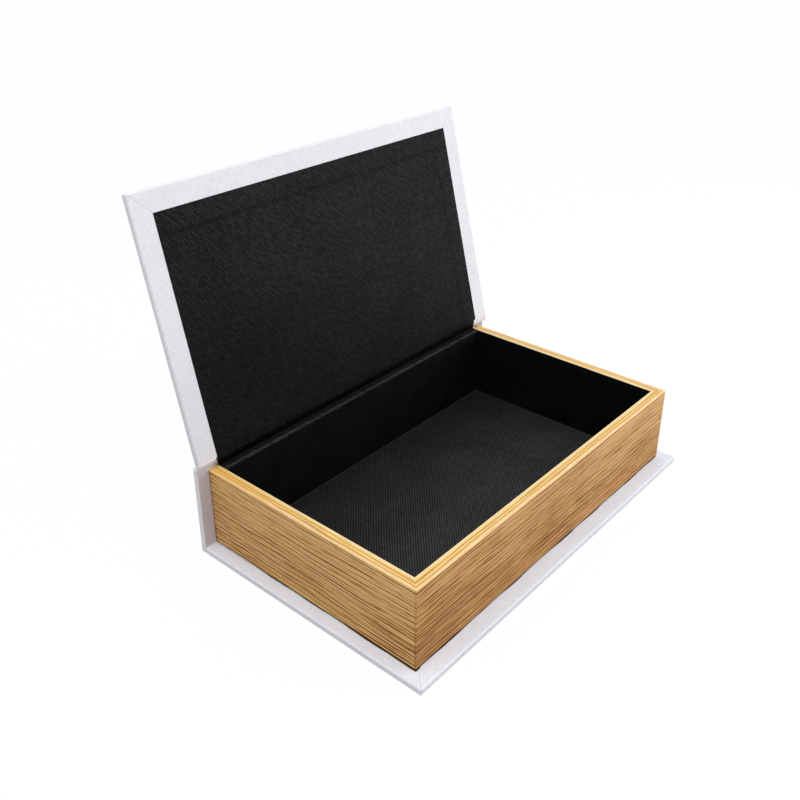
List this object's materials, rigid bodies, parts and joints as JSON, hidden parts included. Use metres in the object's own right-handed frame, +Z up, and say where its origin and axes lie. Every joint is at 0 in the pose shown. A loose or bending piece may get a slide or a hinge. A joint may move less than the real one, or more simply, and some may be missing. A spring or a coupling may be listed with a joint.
{
  "type": "book box",
  "caption": "Book-style keepsake box: white hardback case with a cloth-hinged lid, standing open round a shallow oak-faced tray lined in black cloth.",
  "frame": {"origin": "centre of the case's underside, on the surface that the box stands on", "axes": "+X along the spine from the tail to the head, +Y towards the spine, +Z up out of the tray"},
  "size_m": [0.259, 0.1947, 0.2033],
  "materials": {
    "grey_board": "raw grey board",
    "white_cloth": "smooth matt book cloth",
    "fibreboard": "raw fibreboard",
    "oak_veneer": "oiled, straight grain",
    "oak_rim": "oiled, light, straight grain",
    "black_cloth": "matt woven lining"
  },
  "bodies": {
    "case": {"base_board": "grey_board", "base_cover": "white_cloth", "spine_board": "grey_board", "spine_cover": "white_cloth", "tail_wall": "fibreboard", "head_wall": "fibreboard", "fore_edge_wall": "fibreboard", "spine_wall": "fibreboard", "tail_veneer": "oak_veneer", "head_veneer": "oak_veneer", "fore_edge_veneer": "oak_veneer", "tail_rim": "oak_rim", "head_rim": "oak_rim", "fore_edge_rim": "oak_rim", "floor_card": "grey_board", "floor_lining": "black_cloth", "tail_lining": "black_cloth", "head_lining": "black_cloth", "fore_edge_lining": "black_cloth", "spine_wall_lining": "black_cloth", "hinge_cover": "white_cloth", "hinge_lining": "black_cloth"},
    "lid": {"lid_board": "grey_board", "lid_cover": "white_cloth", "lid_lining": "black_cloth"}
  },
  "joints": [
    {"name": "lid_hinge", "type": "hinge", "parent": "case", "child": "lid", "pos_m": [0, 0.07325, 0.054], "axis": [-1, 0, 0], "range_deg": [-104, 0], "deforming": ["hinge_cover", "hinge_lining"]}
  ]
}
